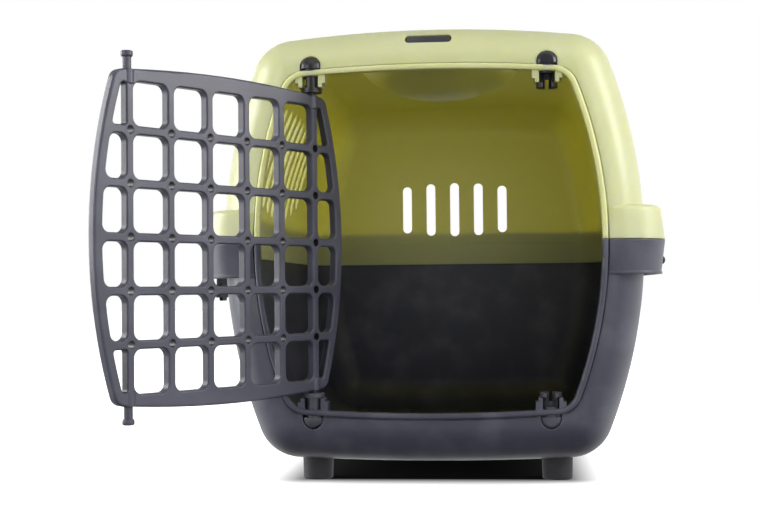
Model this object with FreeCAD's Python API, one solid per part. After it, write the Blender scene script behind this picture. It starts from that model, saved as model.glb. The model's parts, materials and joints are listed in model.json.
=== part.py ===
import FreeCAD, Part
import os
import math
from FreeCAD import Vector as V

# Pet transport carrier: two moulded half shells joined at a waist band, a
# lattice door carried by quarter-turn knobs, a strap handle lying in the
# roof, side clips and four feet.  Millimetres, +X to the right seen from the
# door, +Y from the door to the rear, +Z up.
#
# All pieces are drawn in a working frame with Y = 0 on the door's hinge plane
# and Z = 0 on the parting plane, and are moved at the end so that the origin
# is the bottom centre of the whole object, door open, on its feet.

# ------------------------------------------------------------ dimensions
WALL = 2.8            # shell wall
GAP = 0.25            # half of the visible joint between the shells

BODY_Y0 = -4.5        # front plane of the shells
BODY_Y1 = 463.5       # rear plane
MID_Y = (BODY_Y0 + BODY_Y1) / 2.0
BODY_W = 148.2        # half width at the parting plane
BODY_RS = 360.0       # radius of the barrelled sides
TOP_H = 151.3         # roof above the parting plane
TOP_R = 900.0         # camber of the roof
BOT_H = 153.6         # base below the parting plane
BOT_R = 1900.0
CORNER_R = 31.0       # long corners of the shells
END_A = 30.0          # front and rear edges: how far they come in ...
END_B = 44.0          # ... over this depth, as a quarter ellipse

BAND_W = 161.7        # half width of the waist band at the parting plane
BAND_H = 23.5         # height of each half of the band
BAND_IN = 3.0         # how far the band leans in over that height
BAND_R = 38.0         # its corners in plan
BAND_Y0 = -6.9
BAND_Y1 = 471.5
BAND_T = 2.6

SKIRT_Z0 = -7.4       # inner skirt of the upper shell
SKIRT_Z1 = 13.0

OPEN_W = 116.4        # doorway, half width at the parting plane
OPEN_RS = 294.0
OPEN_H = 117.0        # half height at the centre
OPEN_RT = 1190.0
OPEN_RC = 14.0
LIP = 3.8             # width of the rolled lip round the doorway
LIP_Y0 = -8.5
LIP_Y1 = -1.0

DOOR_T = 6.5
DOOR_W = 108.0        # half width at mid height
DOOR_RS = 312.0
DOOR_H = 105.0
DOOR_RT = 905.0
DOOR_RC = 8.0
DOOR_RIM = 6.4        # rim round the lattice
RAIL_H = 94.0         # half height of the inside of the top and bottom rails
PITCH = 32.3          # lattice pitch
BAR = 5.3             # lattice bar
CELL_R = 5.4          # corner of a lattice cell
NODE_R = 2.6          # small hole at each crossing
HINGE_X = 2.5 * PITCH # pins and knobs stand at +-HINGE_X
PIN_NECK_R = 2.7
CELL_BEVEL = 0.8      # bevel round each lattice cell, both faces
PIN_HEAD_R = 3.7
PIN_TOP = 112.4
PIN_HEAD = 3.6
DOOR_OPEN = 125.3     # rest position of the door, from closed

KNOB_R = 5.1          # knob shank
KNOB_HOLE_R = 5.2
PLATE_Z0 = 114.2      # the plate a knob turns in
PLATE_Z1 = 117.7
POCKET_R = 8.3        # round pocket the knob stands in
POCKET_TOP = 128.6
POCKET_DOME = 8.4     # height of the pocket's domed roof
CAP_Z = 119.5         # underside of the thumb
THUMB_R = 7.7
THUMB_DOME = 7.8      # height of the thumb's domed cap
KNOB_TOP = 128.0
FOOT_Z0 = 103.1       # snap feet under the brackets
FOOT_Z1 = 106.1
BRACKET_Z = 106.5
BRACKET_X0 = 5.5
BRACKET_X1 = 10.2

GROOVE_W = 37.0       # groove for the handle strap in the roof
STRAP_W = 31.5
STRAP_T = 5.5
STRAP_TOP = 150.0
BOWL_A = 66.0         # hand recess under the strap
BOWL_B = 82.0
BOWL_C = 35.0
BOWL_Z = 158.7
BOWL_Y = 178.0
STRAP_END = 290.0     # rear end of the strap
PEG_Y = 278.0         # peg that holds it down
PEG_R = 4.0

CLIP_W = 31.0         # side clips
CLIP_T = 2.6
CLIP_AX = 163.4       # clip pivot
CLIP_AZ = -13.0
CLIP_H = 24.5         # pivot to the top of the clip
CLIP_PIN_R = 1.6
CLIP_HOLE_R = 1.68
CLIP_Y = (95.0, 2 * MID_Y - 95.0)
CLIP_HANG = 180.0     # hanging position of the front left clip

FOOT_X = 86.8
FOOT_Y = (65.0, 2 * MID_Y - 65.0)
FOOT_R = 11.2
FLOOR_Z = -169.8

VENT_Z = 74.0         # side vents: slanted slots inside an oval
VENT_A = 138.0
VENT_B = 45.0
VENT_PITCH = 23.6
VENT_W = 11.0
VENT_LEAN = 30.0


# ------------------------------------------------------------ helpers
def box(x0, y0, z0, x1, y1, z1):
    return Part.makeBox(x1 - x0, y1 - y0, z1 - z0, V(x0, y0, z0))


def cyl(x, y, z0, z1, r):
    return Part.makeCylinder(r, z1 - z0, V(x, y, z0), V(0, 0, 1))


def corner(w, rs, h, rt):
    z = h
    x = w
    for _ in range(60):
        x = w - (rs - math.sqrt(rs * rs - z * z))
        z = h - (rt - math.sqrt(rt * rt - x * x))
    return x, z


def barrel_wire(w, rs, ht, rt, hb, rb, y):
    """Closed barrel outline in the XZ plane made of four arcs."""
    xt, zt = corner(w, rs, ht, rt)
    xb, zb = corner(w, rs, hb, rb)
    zb = -zb
    zm = (zt + zb) / 2.0
    xm = w - (rs - math.sqrt(rs * rs - zm * zm))
    top = Part.Arc(V(-xt, y, zt), V(0, y, ht), V(xt, y, zt)).toShape()
    right = Part.Arc(V(xt, y, zt), V(xm, y, zm), V(xb, y, zb)).toShape()
    bottom = Part.Arc(V(xb, y, zb), V(0, y, -hb), V(-xb, y, zb)).toShape()
    left = Part.Arc(V(-xb, y, zb), V(-xm, y, zm), V(-xt, y, zt)).toShape()
    return Part.Wire([top, right, bottom, left])


def is_y_edge(e):
    if len(e.Vertexes) != 2:
        return False
    d = e.Vertexes[1].Point.sub(e.Vertexes[0].Point)
    return abs(d.x) < 1e-5 and abs(d.z) < 1e-5 and abs(d.y) > 1e-3


def barrel(w, rs, ht, rt, hb, rb, rc, y0, y1):
    """Barrel outline with rounded corners, extruded along Y."""
    f = Part.Face(barrel_wire(w, rs, ht, rt, hb, rb, y0))
    s = f.extrude(V(0, y1 - y0, 0))
    if rc > 0:
        s = s.makeFillet(rc, [e for e in s.Edges if is_y_edge(e)])
    return s


def section(t, d, y):
    """Outline of the shells at depth y, shrunk by t + d."""
    k = t + d
    s = barrel(BODY_W - k, BODY_RS - k, TOP_H - k, TOP_R - k, BOT_H - k,
               BOT_R - k, max(CORNER_R - k, 0.8), y, y + 1.0)
    for f in s.Faces:
        b = f.BoundBox
        if abs(b.YMax - y) < 1e-4 and abs(b.YMin - y) < 1e-4:
            return f.OuterWire
    raise RuntimeError("no section")


def body(t):
    """Outer form of the shells, shrunk by t, with rounded ends."""
    a = END_A - t
    b = END_B - t
    wires = []
    for deg in (0, 12, 24, 37, 50, 63, 76, 90):
        q = math.radians(deg)
        wires.append(section(t, a * (1 - math.sin(q)),
                             BODY_Y0 + t + b * (1 - math.cos(q))))
    nose = Part.makeLoft(wires, True, False)
    mid = barrel(BODY_W - t, BODY_RS - t, TOP_H - t, TOP_R - t, BOT_H - t,
                 BOT_R - t, CORNER_R - t, BODY_Y0 + t + b,
                 BODY_Y1 - t - b)
    tail = nose.mirror(V(0, MID_Y, 0), V(0, 1, 0))
    return mid.fuse([nose, tail]).removeSplitter()


def plan_wire(d, z):
    """Rounded rectangle of the waist band, grown by d, at height z."""
    x = BAND_W + d
    y0 = BAND_Y0 - d
    y1 = BAND_Y1 + d
    r = BAND_R + d
    k = r * (1 - math.sqrt(0.5))
    pts = [V(-x + r, y0, z), V(x - r, y0, z), V(x, y0 + r, z),
           V(x, y1 - r, z), V(x - r, y1, z), V(-x + r, y1, z),
           V(-x, y1 - r, z), V(-x, y0 + r, z)]
    mids = [V(x - k, y0 + k, z), V(x - k, y1 - k, z),
            V(-x + k, y1 - k, z), V(-x + k, y0 + k, z)]
    ed = []
    for i in range(4):
        a = pts[2 * i]
        b = pts[2 * i + 1]
        c = pts[(2 * i + 2) % 8]
        ed.append(Part.makeLine(a, b))
        ed.append(Part.Arc(b, mids[i], c).toShape())
    return Part.Wire(ed)


def plan_solid(d0, z0, d1, z1):
    return Part.makeLoft([plan_wire(d0, z0), plan_wire(d1, z1)], True, True)


def ellipsoid(cx, cy, cz, a, b, c):
    s = Part.makeSphere(1.0)
    m = FreeCAD.Matrix()
    m.scale(V(a, b, c))
    s = s.transformGeometry(m)
    s.translate(V(cx, cy, cz))
    return s


def mirror_x(s):
    return s.mirror(V(0, 0, 0), V(1, 0, 0))


def mirror_z(s):
    return s.mirror(V(0, 0, 0), V(0, 0, 1))


def fuse_all(items):
    s = items[0]
    s = s.fuse(items[1:])
    return s.removeSplitter()


def yz_prism(points, x0, x1):
    w = Part.makePolygon([V(x0, y, z) for y, z in points] +
                         [V(x0, points[0][0], points[0][1])])
    return Part.Face(w).extrude(V(x1 - x0, 0, 0))


def try_fillet(s, radii, edges_of):
    for r in radii:
        try:
            t = s.makeFillet(r, edges_of(s))
            if t.isValid() and t.Volume > 0 and len(t.Solids) == 1:
                return t
        except Exception:
            pass
    return s


# ------------------------------------------------------------ shared forms
outer = body(0.0)
inner = body(WALL)
lining = body(WALL + 0.4)
lining_in = body(WALL + 2.2)
print("body", outer.isValid(), inner.isValid(), round(outer.Volume / 1e3),
      round(inner.Volume / 1e3))
skin = outer.cut(inner)

BIG = 900.0
above = box(-BIG, -BIG, GAP, BIG, BIG, BIG)
below = box(-BIG, -BIG, -BIG, BIG, BIG, -GAP)

doorway = barrel(OPEN_W, OPEN_RS, OPEN_H, OPEN_RT, OPEN_H, OPEN_RT, OPEN_RC,
                 -40.0, 16.0)
lip_out = barrel(OPEN_W + LIP, OPEN_RS + LIP, OPEN_H + LIP, OPEN_RT + LIP,
                 OPEN_H + LIP, OPEN_RT + LIP, OPEN_RC + LIP, LIP_Y0, LIP_Y1)


def front_edges(s):
    out = []
    for e in s.Edges:
        ys = [v.Point.y for v in e.Vertexes]
        if max(ys) - min(ys) < 1e-4 and abs(ys[0] - LIP_Y0) < 1e-3:
            out.append(e)
    return out


lip_in = barrel(OPEN_W, OPEN_RS, OPEN_H, OPEN_RT, OPEN_H, OPEN_RT, OPEN_RC,
                -40.0, 16.0)
lip = try_fillet(lip_out, (1.7, 1.4, 1.0), front_edges).cut(lip_in)
lip = try_fillet(lip, (1.3, 1.0), front_edges)


# a fine groove sets the lip off from the frame
groove_ring = barrel(OPEN_W + LIP + 0.9, OPEN_RS + LIP + 0.9,
                     OPEN_H + LIP + 0.9, OPEN_RT + LIP + 0.9,
                     OPEN_H + LIP + 0.9, OPEN_RT + LIP + 0.9,
                     OPEN_RC + LIP + 0.9, -40.0, BODY_Y0 + 0.9)
groove_ring = groove_ring.cut(barrel(
    OPEN_W + LIP - 0.1, OPEN_RS + LIP, OPEN_H + LIP - 0.1, OPEN_RT + LIP,
    OPEN_H + LIP - 0.1, OPEN_RT + LIP, OPEN_RC + LIP - 0.1, -50.0, 20.0))


def strap_pts(grow, reach):
    """Front end of the handle strap in the YZ plane, grown by grow."""
    t = STRAP_TOP
    dy = reach
    top = [(9.6 - dy, 142.4 + grow), (13.0, 142.8 + grow),
           (33.0, t - 0.8 + grow), (42.0, t + grow)]
    bot = [(43.0, t - STRAP_T - grow), (34.0, t - 0.9 - STRAP_T - grow),
           (14.0, 137.2 - grow), (3.4 - dy, 136.9 - grow)]
    return top, bot


# knob seats: a round pocket outside, a bored plate and two brackets inside
def knob_seat(x):
    s = cyl(x, 0, PLATE_Z0, POCKET_TOP + 2.2, POCKET_R + 2.2)
    s = s.fuse(box(x - POCKET_R - 2.2, -7.5, PLATE_Z0, x + POCKET_R + 2.2, 0,
                   PLATE_Z1))
    s = s.common(outer)
    br = box(x - BRACKET_X1, -6.4, BRACKET_Z, x + BRACKET_X1, 7.0,
             PLATE_Z0 + 1.0)
    br = br.cut(box(x - BRACKET_X0, -9, BRACKET_Z - 1, x + BRACKET_X0, 9,
                    PLATE_Z0))
    # the outer foot of each bracket is relieved in a step
    br = br.cut(box(x - 12, -9, BRACKET_Z - 1, x - 8.2, 9, BRACKET_Z + 2.6))
    br = br.cut(box(x + 8.2, -9, BRACKET_Z - 1, x + 12, 9, BRACKET_Z + 2.6))
    return s.fuse(br)


def knob_cut(x):
    zc = POCKET_TOP - POCKET_DOME
    s = cyl(x, 0, PLATE_Z1, zc, POCKET_R)
    s = s.fuse(ellipsoid(x, 0, zc, POCKET_R, POCKET_R, POCKET_DOME))
    s = s.fuse(cyl(x, 0, PLATE_Z0 - 8.0, PLATE_Z1 + 1.0, KNOB_HOLE_R))
    return s


# ------------------------------------------------------------ upper shell
band_u = plan_solid(0.0, GAP, -BAND_IN, BAND_H)
band_u = try_fillet(
    band_u, (4.2, 3.4, 2.6),
    lambda s: [e for e in s.Edges
               if min(v.Point.z for v in e.Vertexes) > BAND_H - 0.01])
channel_u = plan_solid(-BAND_T, -2.0, -BAND_T - BAND_IN, BAND_H - BAND_T)
band_u = band_u.cut(channel_u).cut(outer)

skirt = lining.cut(lining_in)
skirt = skirt.common(box(-BIG, -BIG, SKIRT_Z0, BIG, BIG, SKIRT_Z1))
skirt_web = inner.cut(lining_in).common(
    box(-BIG, -BIG, SKIRT_Z1 - 2.8, BIG, BIG, SKIRT_Z1))
# the skirt starts behind the front frame
skirt = skirt.fuse(skirt_web).common(box(-BIG, 8.0, -BIG, BIG, BIG, BIG))

bowl_out = ellipsoid(0, BOWL_Y, BOWL_Z, BOWL_A + 2.6, BOWL_B + 2.6,
                     BOWL_C + 2.6).common(outer)
bowl_in = ellipsoid(0, BOWL_Y, BOWL_Z, BOWL_A, BOWL_B, BOWL_C)

liner = box(-GROOVE_W / 2 - 2.4, 27.0, STRAP_TOP - STRAP_T - 3.2,
            GROOVE_W / 2 + 2.4, STRAP_END + 6.5, TOP_H + 2).common(outer)
groove = box(-GROOVE_W / 2, 31.0, STRAP_TOP - STRAP_T - 0.6, GROOVE_W / 2,
             STRAP_END + 4.0, TOP_H + 20)
groove = groove.makeFillet(
    6.0, [e for e in groove.Edges
          if abs(e.Vertexes[0].Point.x - e.Vertexes[1].Point.x) < 1e-6 and
          abs(e.Vertexes[0].Point.y - e.Vertexes[1].Point.y) < 1e-6])

top, bot = strap_pts(0.35, 12.0)
tunnel = yz_prism(top + bot, -STRAP_W / 2 - 0.35, STRAP_W / 2 + 0.35)
tunnel = try_fillet(
    tunnel, (2.7, 2.0),
    lambda s: [e for e in s.Edges
               if abs(e.Vertexes[0].Point.x - e.Vertexes[1].Point.x) < 1e-6
               and e.Vertexes[0].Point.y < 32.0
               or (abs(e.Vertexes[0].Point.x -
                       e.Vertexes[1].Point.x) < 1e-6 and
                   e.Vertexes[1].Point.y < 32.0)])
top, bot = strap_pts(2.6, 12.0)
tunnel_boss = yz_prism(top + bot, -STRAP_W / 2 - 2.8,
                       STRAP_W / 2 + 2.8).common(outer)

upper = skin.common(above)
upper = upper.fuse([band_u, skirt, bowl_out, liner, tunnel_boss])
# the rear end of the strap is held by a peg through the groove floor
peg_hole = cyl(0, PEG_Y, STRAP_TOP - STRAP_T - 6.0, STRAP_TOP, PEG_R + 0.3)
upper = upper.cut([bowl_in, groove, tunnel, peg_hole])
upper = upper.cut([doorway, groove_ring])
seats = knob_seat(HINGE_X)
upper = upper.fuse([lip.common(above), seats, mirror_x(seats)])
cutr = knob_cut(HINGE_X)
upper = upper.cut([cutr, mirror_x(cutr)])

# side vents: slanted round-ended slots whose ends follow an oval
slots = []
n = int(VENT_A / VENT_PITCH)
for i in range(-n, n + 1):
    yc = i * VENT_PITCH
    lean = math.tan(math.radians(VENT_LEAN))
    # where the slanted centre line meets the oval
    a2 = 1.0 / VENT_A ** 2
    b2 = 1.0 / VENT_B ** 2
    qa = lean * lean * a2 + b2
    qb = 2 * yc * lean * a2
    qc = yc * yc * a2 - 1.0
    disc = qb * qb - 4 * qa * qc
    if disc <= 0:
        continue
    z0 = (-qb - math.sqrt(disc)) / (2 * qa)
    z1 = (-qb + math.sqrt(disc)) / (2 * qa)
    length = (z1 - z0) / math.cos(math.radians(VENT_LEAN))
    if length < VENT_W + 6:
        continue
    s = Part.makeBox(2 * BIG, VENT_W, length - VENT_W,
                     V(-BIG, -VENT_W / 2, -(length - VENT_W) / 2))
    s = s.fuse(Part.makeCylinder(VENT_W / 2, 2 * BIG,
                                 V(-BIG, 0, (length - VENT_W) / 2),
                                 V(1, 0, 0)))
    s = s.fuse(Part.makeCylinder(VENT_W / 2, 2 * BIG,
                                 V(-BIG, 0, -(length - VENT_W) / 2),
                                 V(1, 0, 0)))
    s.rotate(V(0, 0, 0), V(1, 0, 0), -VENT_LEAN)
    zc = (z0 + z1) / 2
    s.translate(V(0, MID_Y + yc + lean * zc, VENT_Z + zc))
    slots.append(s)
for x in (-48.0, -24.0, 0.0, 24.0, 48.0):
    h = 22.5 * math.sqrt(1 - (x / 90.0) ** 2)
    s = box(x - 4.5, 400, 48 - h, x + 4.5, 520, 48 + h)
    s = s.fuse([Part.makeCylinder(4.5, 120, V(x, 400, 48 - h), V(0, 1, 0)),
                Part.makeCylinder(4.5, 120, V(x, 400, 48 + h), V(0, 1, 0))])
    slots.append(s)
upper = upper.cut(slots)

# ledges on the band that the clips hook over
def clip_ledge(side, yc):
    top = CLIP_AZ + CLIP_H - 3.3
    s = yz_prism([(yc - 12, top - 3), (yc + 12, top - 3), (yc + 12, top),
                  (yc - 12, top)], 158.6, 161.75)
    return s if side > 0 else mirror_x(s)


upper = upper.fuse([clip_ledge(s, y) for s in (1, -1) for y in CLIP_Y])
upper = upper.removeSplitter()

# ------------------------------------------------------------ lower shell
band_l = plan_solid(-BAND_IN, -BAND_H, 0.0, -GAP)
channel_l = plan_solid(-BAND_T - BAND_IN, -BAND_H - 1.0, -BAND_T, -2.9)
band_l = band_l.cut(channel_l).cut(outer)
bead = plan_solid(-BAND_IN + 0.7, -BAND_H - 0.2, -BAND_IN + 0.9,
                  -BAND_H + 1.5).cut(
    plan_solid(-BAND_IN - BAND_T, -BAND_H - 1.0, -BAND_IN - BAND_T,
               -BAND_H + 3.0)).cut(outer)

lower = skin.common(below)
lower = lower.fuse([band_l, bead])
lower = lower.cut(doorway)
lower = lower.cut(groove_ring.common(below))
low_seats = mirror_z(knob_seat(HINGE_X))
lower = lower.fuse(lip.common(below))
lower = lower.fuse(low_seats)
lower = lower.fuse(mirror_x(low_seats))
cutl = mirror_z(knob_cut(HINGE_X))
lower = lower.cut([cutl, mirror_x(cutl)])


# ears that carry the clips' trunnions
def clip_ears(side, yc):
    out = []
    for d in (-1, 1):
        ya = yc + d * (CLIP_W / 2 + 0.4)
        yb = ya + d * 3.0
        y0, y1 = min(ya, yb), max(ya, yb)
        e = box(157.4, y0, CLIP_AZ - 4.2, CLIP_AX, y1, CLIP_AZ + 3.4)
        e = e.fuse(Part.makeCylinder(3.4, 3.0, V(CLIP_AX, y0, CLIP_AZ),
                                     V(0, 1, 0)))
        e = e.cut(Part.makeCylinder(CLIP_HOLE_R, 9.0,
                                    V(CLIP_AX, y0 - 3, CLIP_AZ),
                                    V(0, 1, 0)))
        out.append(e)
    s = out[0].fuse(out[1])
    return s if side > 0 else mirror_x(s)


lower = lower.fuse([clip_ears(s, y) for s in (1, -1) for y in CLIP_Y])


# foot seats: a shallow blind socket over a local pad
def base_z(x):
    return -(BOT_H - (BOT_R - math.sqrt(BOT_R ** 2 - x * x)))


pad_top = base_z(FOOT_X) + WALL + 1.6
pads = []
holes = []
for sx in (-1, 1):
    for fy in FOOT_Y:
        pads.append(cyl(sx * FOOT_X, fy, -160.0, pad_top, 7.0).common(outer))
        holes.append(cyl(sx * FOOT_X, fy, -175.0, pad_top - 1.4, 4.0))
lower = lower.fuse(pads).cut(holes)
# three low stiffening ribs along the floor
ribs = []
for x in (-45.0, 0.0, 45.0):
    r = box(x - 5, 60, -160, x + 5, 2 * MID_Y - 60,
            base_z(x) + WALL + 1.6).common(outer)
    ribs.append(r)
lower = lower.fuse(ribs)
lower = lower.removeSplitter()

# ------------------------------------------------------------ door
def cell_bevels(cell):
    """The two flared mouths of a lattice cell."""
    wire = cell.slice(V(0, 1, 0), 0.0)[0]
    wide = Part.Face(wire).makeOffset2D(CELL_BEVEL + 0.2)
    wide = wide.OuterWire if hasattr(wide, "OuterWire") else wide
    out = []
    for sy in (-1, 1):
        a, b = wide.copy(), wire.copy()
        a.translate(V(0, sy * (DOOR_T / 2 + 0.2), 0))
        b.translate(V(0, sy * (DOOR_T / 2 - CELL_BEVEL), 0))
        out.append(Part.makeLoft([a, b], True, True))
    return out


def lattice_door():
    plate = barrel(DOOR_W, DOOR_RS, DOOR_H, DOOR_RT, DOOR_H, DOOR_RT,
                   DOOR_RC, -DOOR_T / 2, DOOR_T / 2)
    plate = try_fillet(plate, (1.5, 1.2, 0.8), lambda s: [
        e for e in s.Edges if not is_y_edge(e)])
    field = barrel(DOOR_W - DOOR_RIM, DOOR_RS - DOOR_RIM, RAIL_H + 3.0,
                   DOOR_RT, RAIL_H + 3.0, DOOR_RT, 0, -20, 20)
    cells = []
    xs = [-HINGE_X - PITCH + i * PITCH for i in range(8)]
    zs = [-3 * PITCH + i * PITCH for i in range(7)]
    for i in range(7):
        for j in range(6):
            c = box(xs[i] + BAR / 2, -10, zs[j] + BAR / 2,
                    xs[i + 1] - BAR / 2, 10, zs[j + 1] - BAR / 2)
            c = c.common(field)
            if c.Volume < 1.0:
                continue
            c = c.Solids[0]
            radii = (CELL_R,) if 0 < i < 6 else (5.0, 4.2, 3.4, 2.6, 2.0)
            c = try_fillet(
                c, radii, lambda s: [e for e in s.Edges if is_y_edge(e)])
            cells += [c] + cell_bevels(c)
    for i in range(6):
        for j in range(5):
            cells.append(Part.makeCylinder(
                NODE_R, 20, V(-HINGE_X + i * PITCH, -10,
                              -2 * PITCH + j * PITCH), V(0, 1, 0)))
    door = plate.cut(cells)
    parts = []
    for sx in (-1, 1):
        x = sx * HINGE_X
        rib = cyl(x, 0, 92.5, 101.2, 4.3)
        neck = cyl(x, 0, 98.0, PIN_TOP - PIN_HEAD + 0.2, PIN_NECK_R)
        head = Part.makeCone(PIN_NECK_R + 0.5, PIN_HEAD_R, 0.9,
                             V(x, 0, PIN_TOP - PIN_HEAD))
        head2 = cyl(x, 0, PIN_TOP - PIN_HEAD + 0.9, PIN_TOP - 0.6,
                    PIN_HEAD_R)
        head3 = Part.makeCone(PIN_HEAD_R, PIN_HEAD_R - 0.6, 0.6,
                              V(x, 0, PIN_TOP - 0.6))
        p = rib.fuse([neck, head, head2, head3])
        parts += [p, mirror_z(p)]
    return fuse_all([door] + parts)


door = lattice_door()


# ------------------------------------------------------------ knobs
def knob(x, turned):
    """Top knob at x, its mouth to the front, or turned a quarter."""
    s = cyl(x, 0, FOOT_Z0, CAP_Z + 0.3, KNOB_R)
    feet = cyl(x, 0, FOOT_Z0, FOOT_Z1, 7.3)
    s = s.fuse(feet)
    # collar that bears on the plate, open below the steep face
    base = cyl(x, 0, PLATE_Z1 + 0.35, CAP_Z + 0.3, 6.5).common(
        box(x - 9, -2.6, PLATE_Z1, x + 9, 9, CAP_Z + 1))
    # thumb: a domed cap with one steep face and a back that slopes away
    zc = KNOB_TOP - THUMB_DOME
    dome = cyl(x, 0, CAP_Z, zc, THUMB_R).fuse(
        ellipsoid(x, 0, zc, THUMB_R, THUMB_R, THUMB_DOME).common(
            box(x - 9, -9, zc, x + 9, 9, zc + 9)))
    dome = dome.removeSplitter()
    far = THUMB_R + 2
    steep = yz_prism([(-far, CAP_Z - 1), (-6.5, CAP_Z - 1),
                      (-5.2, KNOB_TOP + 1), (-far, KNOB_TOP + 1)],
                     x - far, x + far)
    slope = yz_prism([(-4.2, KNOB_TOP - 0.3), (far, PLATE_Z1 + 4.2),
                      (far, KNOB_TOP + 9), (-4.2, KNOB_TOP + 9)],
                     x - far, x + far)
    rib = yz_prism([(-3.9, CAP_Z + 1.0), (far, CAP_Z + 1.0),
                    (far, PLATE_Z1 + 4.9), (-3.9, KNOB_TOP + 0.3)],
                   x - 1.0, x + 1.0).common(dome)
    grip = dome.cut([steep, slope]).fuse(rib.cut(steep))
    s = s.fuse([base, grip])
    # socket for the door pin: a slot for its neck, a cavity for its head
    mouth = PIN_NECK_R + 0.3
    neck = cyl(x, 0, FOOT_Z0 - 1, 109.4, mouth).fuse(
        box(x - mouth, -12, FOOT_Z0 - 1, x + mouth, 0, 109.4))
    head = cyl(x, 0, 108.3, 113.0, 4.05).fuse(
        box(x - 4.05, -12, 108.3, x + 4.05, 0, 113.0))
    # slot that lets the two halves of the snap foot flex
    flex = box(x - 1.3, 0, FOOT_Z0 - 1, x + 1.3, 12, 109.4)
    s = s.cut([neck, head, flex])
    if turned:
        s.rotate(V(x, 0, 0), V(0, 0, 1), turned)
    return s.removeSplitter()


knob_tr = knob(HINGE_X, 0)
knob_tl = knob(-HINGE_X, -90)
knob_br = mirror_z(knob(HINGE_X, 0))
knob_bl = mirror_z(knob(-HINGE_X, -90))

# ------------------------------------------------------------ handle strap
top, bot = strap_pts(0.0, 0.0)
front = top + [(STRAP_END, STRAP_TOP), (STRAP_END, STRAP_TOP - STRAP_T)] + bot
handle = yz_prism(front, -STRAP_W / 2, STRAP_W / 2)
handle = handle.makeFillet(
    7.0, [e for e in handle.Edges
          if abs(e.Vertexes[0].Point.x - e.Vertexes[-1].Point.x) < 1e-6 and
          abs(e.Vertexes[0].Point.y - STRAP_END) < 1e-6 and
          abs(e.Vertexes[-1].Point.y - STRAP_END) < 1e-6 and
          abs(e.Vertexes[0].Point.z - e.Vertexes[-1].Point.z) > 1])


def strap_edges(s):
    out = []
    for e in s.Edges:
        a, b = e.Vertexes[0].Point, e.Vertexes[-1].Point
        if abs(a.x - b.x) < 1e-6:
            out.append(e)
    return out


handle = try_fillet(handle, (2.4, 2.0, 1.5, 1.0), strap_edges)
# a fuller grip under the middle of the strap
grip_pad = box(-12.0, BOWL_Y - 40, STRAP_TOP - STRAP_T - 2.0, 12.0,
               BOWL_Y + 40, STRAP_TOP - STRAP_T + 1.0)
grip_pad = try_fillet(grip_pad, (1.4, 1.0), lambda s: [
    e for e in s.Edges if max(v.Point.z for v in e.Vertexes) <
    STRAP_TOP - STRAP_T - 1.9])
peg = cyl(0, PEG_Y, STRAP_TOP - STRAP_T - 6.0, STRAP_TOP - STRAP_T + 1.0,
          PEG_R)
peg_head = Part.makeCone(PEG_R + 0.2, PEG_R + 1.2, 2.0,
                         V(0, PEG_Y, STRAP_TOP - STRAP_T - 6.0))
handle = handle.fuse([grip_pad, peg, peg_head]).removeSplitter()


# ------------------------------------------------------------ clips
def clip(side, yc, angle):
    x0 = CLIP_AX - CLIP_T / 2 + 0.0
    x1 = x0 + CLIP_T
    y0, y1 = yc - CLIP_W / 2, yc + CLIP_W / 2
    zt = CLIP_AZ + CLIP_H
    p = box(x0, y0, CLIP_AZ, x1, y1, zt)
    p = p.fuse(Part.makeCylinder(CLIP_T / 2 + 0.6, CLIP_W,
                                 V(CLIP_AX, y0, CLIP_AZ), V(0, 1, 0)))
    hook = yz_prism([(y0 + 3.0, zt - 2.6), (y1 - 3.0, zt - 2.6),
                     (y1 - 3.0, zt), (y0 + 3.0, zt)], 161.0, x0 + 0.5)
    tab = yz_prism([(yc - 9, zt - 0.5), (yc + 9, zt - 0.5), (yc + 7, zt + 2.4),
                    (yc - 7, zt + 2.4)], x0 + 0.5, x1 + 0.3)
    ribs = [box(x1 - 0.2, y0 + 4, zt - 4.0 - 3.2 * k, x1 + 0.5, y1 - 4,
                zt - 2.6 - 3.2 * k) for k in range(3)]
    pin = Part.makeCylinder(CLIP_PIN_R, CLIP_W + 6.4,
                            V(CLIP_AX, y0 - 3.2, CLIP_AZ), V(0, 1, 0))
    p = p.fuse([hook, tab, pin] + ribs).removeSplitter()
    if angle:
        p.rotate(V(CLIP_AX, 0, CLIP_AZ), V(0, 1, 0), angle)
    return p if side > 0 else mirror_x(p)


clips = {
    "clip_front_right": clip(1, CLIP_Y[0], 0),
    "clip_rear_right": clip(1, CLIP_Y[1], 0),
    "clip_front_left": clip(-1, CLIP_Y[0], CLIP_HANG),
    "clip_rear_left": clip(-1, CLIP_Y[1], 0),
}


# ------------------------------------------------------------ feet
def foot(sx, fy):
    x = sx * FOOT_X
    z_top = base_z(FOOT_X + FOOT_R)
    s = Part.makeCone(FOOT_R - 0.5, FOOT_R, 170.0 - 151.0,
                      V(x, fy, FLOOR_Z))
    s = s.makeFillet(1.2, [e for e in s.Edges
                           if abs(e.BoundBox.ZMax - FLOOR_Z) < 1e-3])
    s = s.cut(outer)
    s = s.fuse(cyl(x, fy, -158.0, pad_top - 1.6, 4.0))
    return s.Solids[0] if len(s.Solids) == 1 else s


feet = {
    "foot_front_left": foot(-1, FOOT_Y[0]),
    "foot_front_right": foot(1, FOOT_Y[0]),
    "foot_rear_left": foot(-1, FOOT_Y[1]),
    "foot_rear_right": foot(1, FOOT_Y[1]),
}

# ------------------------------------------------------------ rest pose
door.rotate(V(-HINGE_X, 0, 0), V(0, 0, 1), -DOOR_OPEN)

pieces = {
    "upper_shell": upper,
    "lower_shell": lower,
    "door_grille": door,
    "knob_top_left": knob_tl,
    "knob_top_right": knob_tr,
    "knob_bottom_left": knob_bl,
    "knob_bottom_right": knob_br,
    "handle": handle,
}
pieces.update(clips)
pieces.update(feet)

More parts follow.
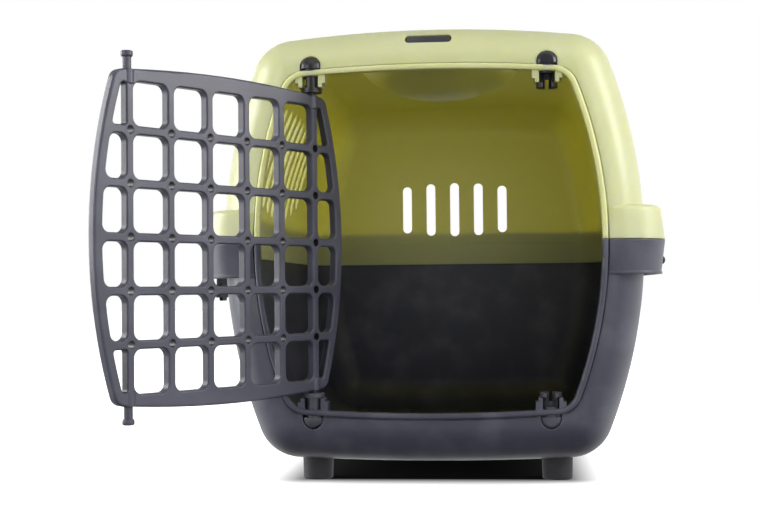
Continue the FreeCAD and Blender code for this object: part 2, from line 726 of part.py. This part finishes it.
lo = [1e9] * 3
hi = [-1e9] * 3
for s in pieces.values():
    b = s.optimalBoundingBox(True, False)
    for k, (a, c) in enumerate(((b.XMin, b.XMax), (b.YMin, b.YMax),
                                (b.ZMin, b.ZMax))):
        lo[k] = min(lo[k], a)
        hi[k] = max(hi[k], c)
SHIFT = V(-(lo[0] + hi[0]) / 2, -(lo[1] + hi[1]) / 2, -lo[2])
print("extent", [round(hi[k] - lo[k], 3) for k in range(3)])
print("shift", round(SHIFT.x, 4), round(SHIFT.y, 4), round(SHIFT.z, 4))

os.makedirs("parts", exist_ok=True)
for name, s in pieces.items():
    s = s.copy()
    s.translate(SHIFT)
    if s.ShapeType == "Compound" and len(s.Solids) == 1:
        s = s.Solids[0]
    print(name, "valid", s.isValid(), "solids", len(s.Solids),
          "cm3", round(s.Volume / 1000.0, 2))
    s.exportStep("parts/" + name + ".step")
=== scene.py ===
import json
import math

import bmesh
import bpy
from mathutils import Matrix, Vector

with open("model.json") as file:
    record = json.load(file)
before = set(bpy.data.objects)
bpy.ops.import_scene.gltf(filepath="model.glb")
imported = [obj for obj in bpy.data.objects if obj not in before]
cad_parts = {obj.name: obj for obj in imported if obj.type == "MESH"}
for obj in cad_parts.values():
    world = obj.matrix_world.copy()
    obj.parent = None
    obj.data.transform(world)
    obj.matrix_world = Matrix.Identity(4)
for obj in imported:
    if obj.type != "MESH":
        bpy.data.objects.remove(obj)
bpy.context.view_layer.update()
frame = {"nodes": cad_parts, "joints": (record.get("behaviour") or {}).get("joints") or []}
nodes = frame["nodes"]
scene = bpy.context.scene
scene.view_settings.view_transform = "Standard"
scene.view_settings.look = "None"

# ------------------------------------------------------------ places
joints = {j["name"]: j for j in frame["joints"]}
hinge = Vector(joints["door_hinge"]["pos_m"])
knob_r = Vector(joints["knob_top_right_turn"]["pos_m"])
CX = (hinge.x + knob_r.x) / 2.0      # middle plane of the carrier
HY = hinge.y                         # plane of the door's pins
PZ = hinge.z                         # parting plane


def at(x, y, z):
    """Row-frame point from millimetres about the doorway's middle."""
    return Vector((CX + x / 1000.0, HY + y / 1000.0, PZ + z / 1000.0))


# ------------------------------------------------------------ materials
def new_mat(name):
    m = bpy.data.materials.new(name)
    m.use_nodes = True
    nt = m.node_tree
    for n in list(nt.nodes):
        nt.nodes.remove(n)
    out = nt.nodes.new("ShaderNodeOutputMaterial")
    b = nt.nodes.new("ShaderNodeBsdfPrincipled")
    nt.links.new(b.outputs["BSDF"], out.inputs["Surface"])
    return m, nt, b


def math_node(nt, op, a, b=None, clamp=False):
    n = nt.nodes.new("ShaderNodeMath")
    n.operation = op
    n.use_clamp = clamp
    for k, v in ((0, a), (1, b)):
        if v is None:
            continue
        if isinstance(v, (int, float)):
            n.inputs[k].default_value = v
        else:
            nt.links.new(v, n.inputs[k])
    return n.outputs[0]


def noise(nt, vec, scale, detail=3.0, rough=0.55):
    n = nt.nodes.new("ShaderNodeTexNoise")
    n.inputs["Scale"].default_value = scale
    n.inputs["Detail"].default_value = detail
    n.inputs["Roughness"].default_value = rough
    nt.links.new(vec, n.inputs["Vector"])
    return n.outputs["Fac"]


def ramp(nt, fac, lo, hi, a=0.0, b=1.0):
    n = nt.nodes.new("ShaderNodeMapRange")
    n.inputs["From Min"].default_value = lo
    n.inputs["From Max"].default_value = hi
    n.inputs["To Min"].default_value = a
    n.inputs["To Max"].default_value = b
    n.clamp = True
    nt.links.new(fac, n.inputs["Value"])
    return n.outputs["Result"]


def mix_col(nt, fac, a, b):
    n = nt.nodes.new("ShaderNodeMix")
    n.data_type = "RGBA"
    n.clamp_factor = True
    if isinstance(fac, (int, float)):
        n.inputs["Factor"].default_value = fac
    else:
        nt.links.new(fac, n.inputs["Factor"])
    for key, v in (("A", a), ("B", b)):
        sock = [s for s in n.inputs if s.name == key and s.type == "RGBA"][0]
        if isinstance(v, tuple):
            sock.default_value = (*v, 1.0)
        else:
            nt.links.new(v, sock)
    return [s for s in n.outputs if s.type == "RGBA"][0]


def plastic(name, base, dark, pale, rough=(0.34, 0.46), grain=0.10,
            grain_scale=2300.0, wear=0.35, bevel=0.0007, sss=0.0,
            spec=0.5, coat=0.0, cabin_shade_col=None, painted_shade_dist=0.0):
    """Moulded plastic: fine spark-eroded grain, faint flow streaks and
    mottling, edges rubbed paler, roughness that varies with handling."""
    m, nt, b = new_mat(name)
    geo = nt.nodes.new("ShaderNodeNewGeometry")
    tc = nt.nodes.new("ShaderNodeTexCoord")
    pos = tc.outputs["Object"]
    big = noise(nt, pos, 9.0, 4.0, 0.6)
    mid = noise(nt, pos, 70.0, 3.0, 0.6)
    fine = noise(nt, pos, grain_scale, 2.0, 0.5)
    # long soft flow streaks from moulding
    mp = nt.nodes.new("ShaderNodeMapping")
    mp.inputs["Scale"].default_value = (1.0, 0.18, 1.0)
    nt.links.new(pos, mp.inputs["Vector"])
    flow = noise(nt, mp.outputs["Vector"], 34.0, 3.0, 0.5)
    # edges: compare the rounded normal with the flat one
    bev = nt.nodes.new("ShaderNodeBevel")
    bev.samples = 4
    bev.inputs["Radius"].default_value = bevel
    dot = nt.nodes.new("ShaderNodeVectorMath")
    dot.operation = "DOT_PRODUCT"
    nt.links.new(bev.outputs["Normal"], dot.inputs[0])
    nt.links.new(geo.outputs["Normal"], dot.inputs[1])
    edge = ramp(nt, dot.outputs["Value"], 0.992, 0.90)
    edge = math_node(nt, "MULTIPLY", edge, ramp(nt, mid, 0.35, 0.62))
    col = mix_col(nt, ramp(nt, big, 0.33, 0.68), base, dark)
    col = mix_col(nt, math_node(nt, "MULTIPLY", ramp(nt, flow, 0.45, 0.75), 0.35), col, pale)
    col = mix_col(nt, math_node(nt, "MULTIPLY", edge, wear), col, pale)
    # tiny specks of dust and pigment
    speck = noise(nt, pos, 620.0, 1.0, 0.4)
    col = mix_col(nt, math_node(nt, "MULTIPLY", ramp(nt, speck, 0.70, 0.78), 0.25), col, pale)
    if cabin_shade_col:
        # painted shade: walls that face the cabin get a flat, darker and deeper lime than the
        # outside of the same plastic, without the specks of dust
        sub = nt.nodes.new("ShaderNodeVectorMath")
        sub.operation = "SUBTRACT"
        sub.inputs[1].default_value = at(0, 229, 40)
        nt.links.new(pos, sub.inputs[0])
        d2 = nt.nodes.new("ShaderNodeVectorMath")
        d2.operation = "DOT_PRODUCT"
        nt.links.new(sub.outputs[0], d2.inputs[0])
        nt.links.new(geo.outputs["Normal"], d2.inputs[1])
        col = mix_col(nt, ramp(nt, d2.outputs["Value"], 0.0, -0.03), col, cabin_shade_col)
    if painted_shade_dist:
        # painted shade: colour darkened to near-black where ambient occlusion finds corners,
        # cell walls and small holes
        ao = nt.nodes.new("ShaderNodeAmbientOcclusion")
        ao.samples = 6
        ao.inputs["Distance"].default_value = painted_shade_dist
        painted_shade_mask = ramp(nt, ao.outputs["AO"], 0.85, 0.30)
        col = mix_col(nt, painted_shade_mask, col, tuple(0.22 * v for v in dark))
    nt.links.new(col, b.inputs["Base Color"])
    # handling leaves broad, soft changes of gloss
    soft = noise(nt, pos, 24.0, 1.0, 0.4)
    r = ramp(nt, soft, 0.15, 0.85, rough[0] - 0.02, rough[1] - 0.02)
    r = math_node(nt, "ADD", r, ramp(nt, big, 0.1, 0.9, -0.03, 0.03))
    nt.links.new(r, b.inputs["Roughness"])
    bump = nt.nodes.new("ShaderNodeBump")
    bump.inputs["Strength"].default_value = grain
    bump.inputs["Distance"].default_value = 0.0003
    nt.links.new(fine, bump.inputs["Height"])
    nt.links.new(bev.outputs["Normal"], bump.inputs["Normal"])
    # faint sink and wave of a large moulded wall
    bump2 = nt.nodes.new("ShaderNodeBump")
    bump2.inputs["Strength"].default_value = 0.12
    bump2.inputs["Distance"].default_value = 0.0012
    nt.links.new(big, bump2.inputs["Height"])
    nt.links.new(bump.outputs["Normal"], bump2.inputs["Normal"])
    nt.links.new(bump2.outputs["Normal"], b.inputs["Normal"])
    b.inputs["Specular IOR Level"].default_value = spec
    if sss:
        b.inputs["Subsurface Weight"].default_value = sss
        b.inputs["Subsurface Scale"].default_value = 0.010
        b.inputs["Subsurface Radius"].default_value = (1.0, 0.93, 0.30)
    if coat:
        b.inputs["Coat Weight"].default_value = coat
        b.inputs["Coat Roughness"].default_value = 0.25
    return m


LIME = plastic("lime_plastic", (0.575, 0.59, 0.32), (0.545, 0.565, 0.292),
               (0.63, 0.65, 0.40), rough=(0.35, 0.43), grain=0.09, sss=0.8,
               wear=0.3, cabin_shade_col=(0.53, 0.53, 0.225))
GREY = plastic("grey_plastic", (0.054, 0.055, 0.080), (0.047, 0.048, 0.070),
               (0.16, 0.16, 0.20), rough=(0.34, 0.42), grain=0.10,
               wear=0.7, bevel=0.0013)
DOOR = plastic("door_plastic", (0.056, 0.056, 0.080), (0.048, 0.048, 0.070),
               (0.13, 0.13, 0.17), rough=(0.34, 0.42), grain=0.08,
               wear=0.6, bevel=0.0009, painted_shade_dist=0.022)
CHAR = plastic("charcoal_plastic", (0.014, 0.014, 0.019),
               (0.010, 0.010, 0.014), (0.07, 0.07, 0.09),
               rough=(0.34, 0.44), grain=0.10, wear=0.5, bevel=0.0005)
KNOB = plastic("knob_plastic", (0.060, 0.060, 0.078),
               (0.048, 0.048, 0.064), (0.16, 0.16, 0.20),
               rough=(0.34, 0.42), grain=0.10, wear=0.5, bevel=0.0005)
HAND = plastic("handle_plastic", (0.030, 0.030, 0.042),
               (0.024, 0.024, 0.034), (0.10, 0.10, 0.13),
               rough=(0.35, 0.43), grain=0.12, wear=0.5, bevel=0.0009)
RUBBER = plastic("foot_rubber", (0.022, 0.022, 0.028),
                 (0.016, 0.016, 0.020), (0.08, 0.08, 0.09),
                 rough=(0.50, 0.68), grain=0.25, grain_scale=1500.0,
                 wear=0.6, bevel=0.0009, spec=0.4)

look = {"upper_shell": LIME, "lower_shell": GREY, "door_grille": DOOR,
        "handle": HAND}
for n in nodes:
    if n.startswith("knob") or n.startswith("clip"):
        look[n] = CHAR
    if n.startswith("knob_bottom"):
        look[n] = KNOB
    if n.startswith("foot"):
        look[n] = RUBBER
for n, o in nodes.items():
    o.data.materials.clear()
    o.data.materials.append(look[n])
    for p in o.data.polygons:
        p.material_index = 0

# ------------------------------------------------------------ stage
floor = bpy.data.meshes.new("floor")
floor.from_pydata([(-6, -5, 0), (6, -5, 0), (6, 9, 0), (-6, 9, 0)], [],
                  [(0, 1, 2, 3)])
floor = bpy.data.objects.new("floor", floor)
scene.collection.objects.link(floor)
fm, nt, b = new_mat("floor_white")
tc = nt.nodes.new("ShaderNodeTexCoord")
f = noise(nt, tc.outputs["Object"], 6.0, 4.0, 0.6)
paper = mix_col(nt, f, (0.90, 0.90, 0.91), (0.87, 0.87, 0.88))
b.inputs["Roughness"].default_value = 0.8
b.inputs["Specular IOR Level"].default_value = 0.0
# painted light and shadow: the paper glows white away from the object, and under its
# footprint the glow fades out
vec = tc.outputs["Object"]
steps = (("SUBTRACT", at(0, 232, 0)), ("ABSOLUTE", None),
         ("SUBTRACT", (0.092, 0.172, 10.0)), ("MAXIMUM", (0.0, 0.0, 0.0)),
         ("LENGTH", None))
for op, val in steps:
    n = nt.nodes.new("ShaderNodeVectorMath")
    n.operation = op
    nt.links.new(vec, n.inputs[0])
    if val is not None:
        n.inputs[1].default_value = val
    vec = n.outputs["Value"] if op == "LENGTH" else n.outputs["Vector"]
glow = ramp(nt, vec, 0.0, 0.035, 0.0, 0.95)
nt.links.new(glow, b.inputs["Emission Strength"])
# painted shadow: the paper colour turns near-black under the object's footprint
shade = ramp(nt, vec, 0.0, 0.035)
nt.links.new(mix_col(nt, shade, (0.03, 0.03, 0.032), paper),
             b.inputs["Base Color"])
b.inputs["Emission Color"].default_value = (1.0, 1.0, 1.0, 1.0)
floor.data.materials.append(fm)
floor.visible_diffuse = False        # the lit paper doesn't light the object
floor.visible_glossy = False

world = bpy.data.worlds.new("studio")
scene.world = world
world.use_nodes = True
nt = world.node_tree
bg = nt.nodes["Background"]
tc = nt.nodes.new("ShaderNodeTexCoord")
sep = nt.nodes.new("ShaderNodeSeparateXYZ")
nt.links.new(tc.outputs["Generated"], sep.inputs[0])
# bright paper behind the object, a dim room behind the camera
v = ramp(nt, sep.outputs["Y"], -0.55, 0.10, 0.18, 1.0)
v = math_node(nt, "MULTIPLY", v, ramp(nt, sep.outputs["Z"], 0.22, 0.50, 1.0, 0.30))
# below the horizon, the light that a pale floor sends back
z = ramp(nt, sep.outputs["Z"], -0.12, -0.04)
v = math_node(nt, "MULTIPLY", v, z)
low = ramp(nt, sep.outputs["Y"], -0.25, 0.25, 0.55, 1.0)
low = math_node(nt, "MULTIPLY", low, ramp(nt, sep.outputs["Z"], -0.80, -0.35, 0.12, 1.0))
v = math_node(nt, "ADD", v, math_node(nt, "MULTIPLY", math_node(nt, "SUBTRACT", 1.0, z), low))
nt.links.new(v, bg.inputs["Strength"])
bg.inputs["Color"].default_value = (1.0, 1.0, 1.0, 1.0)


def area(name, loc, target, size, power, color=(1, 1, 1)):
    light = bpy.data.lights.new(name, "AREA")
    light.shape = "RECTANGLE"
    light.size, light.size_y = size
    light.energy = power
    light.color = color
    o = bpy.data.objects.new(name, light)
    scene.collection.objects.link(o)
    o.location = loc
    d = Vector(target) - Vector(loc)
    o.rotation_euler = d.to_track_quat("-Z", "Y").to_euler()
    return o


mid = at(0, 100, 0)
area("key_right", (1.15, -1.25, 0.70), mid, (0.8, 1.3), 9.5)
area("side_right", (1.42, -0.12, 0.82), mid, (0.6, 0.8), 14)
area("side_left", (-1.40, 0.05, 0.50), mid, (0.7, 0.9), 17)
area("front_left", (-1.05, -1.35, 0.60), mid, (0.8, 1.0), 10)
area("top", (0.1, -0.75, 1.65), mid, (1.6, 1.0), 6.5)
fill = area("front_low", (0.25, -1.60, 0.12), at(0, 100, 40), (0.9, 0.5), 6)
fill.visible_glossy = False          # fills the cabin without a hot spot

# ------------------------------------------------------------ camera
CAM = (52.6, -946.9, -33.4)          # mm about the doorway's middle
YAW, PITCH, ROLL = 5.238, 1.509, 0.545
FOCAL_PX = 1388.8
cam = bpy.data.cameras.new("camera")
cam.sensor_width = 36.0
cam.sensor_fit = "HORIZONTAL"
cam.lens = FOCAL_PX / 760.0 * 36.0
cam.clip_start = 0.02
cam.clip_end = 60.0
co = bpy.data.objects.new("camera", cam)
scene.collection.objects.link(co)
R = (Matrix.Rotation(math.radians(YAW), 3, "Z") @
     Matrix.Rotation(math.radians(PITCH), 3, "X") @
     Matrix.Rotation(math.radians(ROLL), 3, "Y"))
right, fwd, up = R.col[0], R.col[1], R.col[2]
M = Matrix((right, up, -fwd)).transposed().to_4x4()
M.translation = at(*CAM)
co.matrix_world = M
scene.camera = co
